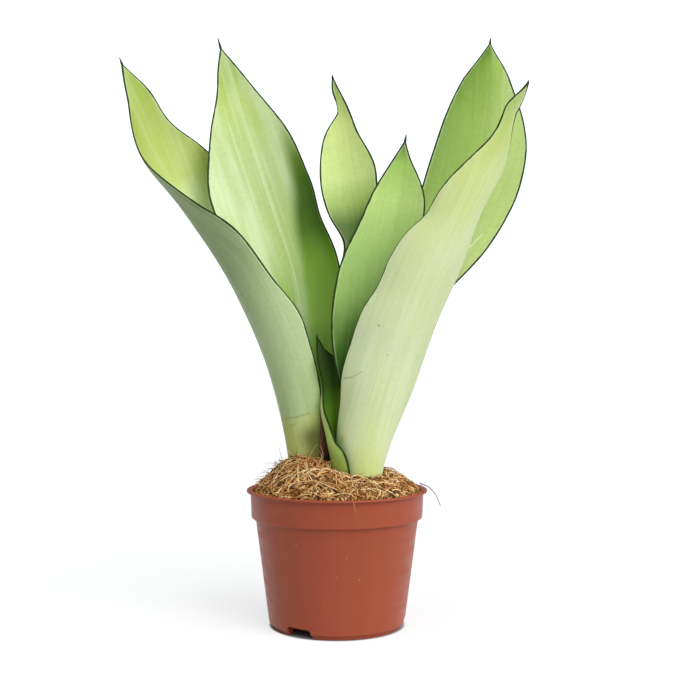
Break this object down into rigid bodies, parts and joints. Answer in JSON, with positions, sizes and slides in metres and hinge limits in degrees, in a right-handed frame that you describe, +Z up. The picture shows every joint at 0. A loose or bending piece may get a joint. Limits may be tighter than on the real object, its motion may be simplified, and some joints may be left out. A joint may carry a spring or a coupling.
{
  "type": "potted snake plant",
  "caption": "Snake plant with pale silver-green lance-shaped leaves in two shoots, growing from a domed mound of coconut coir in a tapered nursery pot with a lip and collar band.",
  "frame": {"origin": "centre of the pot's base disc, on the ground plane", "axes": "+Z up along the pot's axis, -Y towards the front of the plant, +X to its right"},
  "size_m": [0.2774, 0.121, 0.408],
  "materials": {
    "pot_plastic": "moulded, satin",
    "coir": "coarse fibre and pith",
    "rhizome": "fleshy, matte",
    "leaf": "waxy bloom, satin",
    "leaf_pale": "waxy bloom, satin",
    "dry_scale": "dry, papery"
  },
  "bodies": {
    "root": {"pot": "pot_plastic", "coir_soil": "coir", "rhizome": "rhizome", "leaf_left_outer": "leaf", "leaf_left_inner": "leaf", "leaf_right_front": "leaf_pale", "leaf_right_rear": "leaf", "leaf_middle_rear": "leaf", "leaf_middle_front": "leaf", "leaf_young": "leaf", "dry_scale": "dry_scale"}
  },
  "joints": []
}
